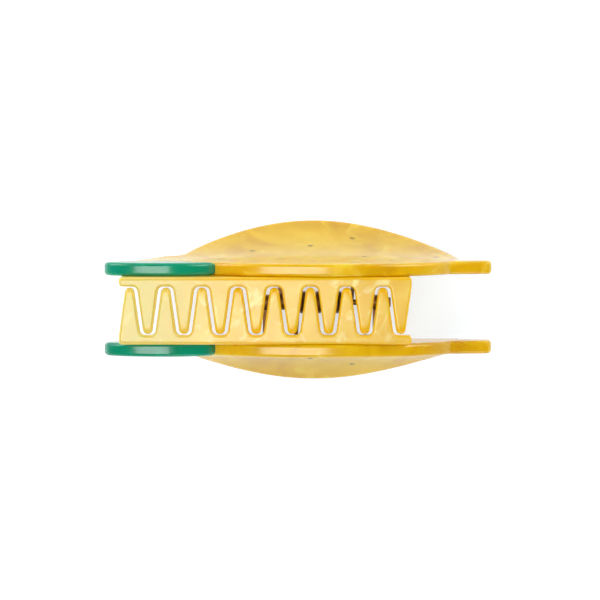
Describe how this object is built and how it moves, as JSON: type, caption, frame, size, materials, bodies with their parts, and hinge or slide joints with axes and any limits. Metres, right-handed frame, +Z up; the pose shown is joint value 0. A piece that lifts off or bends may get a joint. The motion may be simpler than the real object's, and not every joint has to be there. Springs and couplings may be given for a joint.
{
  "type": "hair claw clip",
  "caption": "Acetate hair claw clip cut as a lemon with a green leaf, with interlocking combs and a sprung metal hinge between two bent plates.",
  "frame": {"origin": "on the floor, midway between the two halves and midway along the plates, under the standing clip", "axes": "+X along the clip from the leaf's tip to the lemon's nub, +Y from the front half to the rear half, +Z up from the handle edges to the comb face"},
  "size_m": [0.1016, 0.0442, 0.0455],
  "materials": {
    "yellow_acetate": "polished cellulose acetate, lemon yellow with a pearl swirl",
    "green_acetate": "polished cellulose acetate, leaf green",
    "pearl_acetate": "polished cellulose acetate, pale yellow with a pearl mottle",
    "brown_filler": "brown filler in engraved marks, polished flush",
    "hinge_steel": "stamped steel, bronzed",
    "nail_steel": "steel, bronzed",
    "pin_steel": "drawn steel wire",
    "spring_steel": "hard-drawn spring wire, dark bronze finish"
  },
  "bodies": {
    "front_half": {"front_plate": "yellow_acetate", "front_leaf": "green_acetate", "front_pore_marks": "brown_filler", "front_comb": "pearl_acetate", "front_hinge_leaf": "hinge_steel", "front_hinge_nails": "nail_steel", "hinge_pin": "pin_steel", "torsion_spring": "spring_steel"},
    "rear_half": {"rear_plate": "yellow_acetate", "rear_leaf": "green_acetate", "rear_pore_marks": "brown_filler", "rear_comb": "pearl_acetate", "rear_hinge_leaf": "hinge_steel", "rear_hinge_nails": "nail_steel"}
  },
  "joints": [
    {"name": "jaw_hinge", "type": "hinge", "parent": "front_half", "child": "rear_half", "pos_m": [0.0071, 0, 0.0125], "axis": [-1, 0, 0], "range_deg": [0, 55], "stiffness_Nm_per_rad": 0.2, "springref_deg": -45.84, "deforming": ["torsion_spring"]}
  ]
}
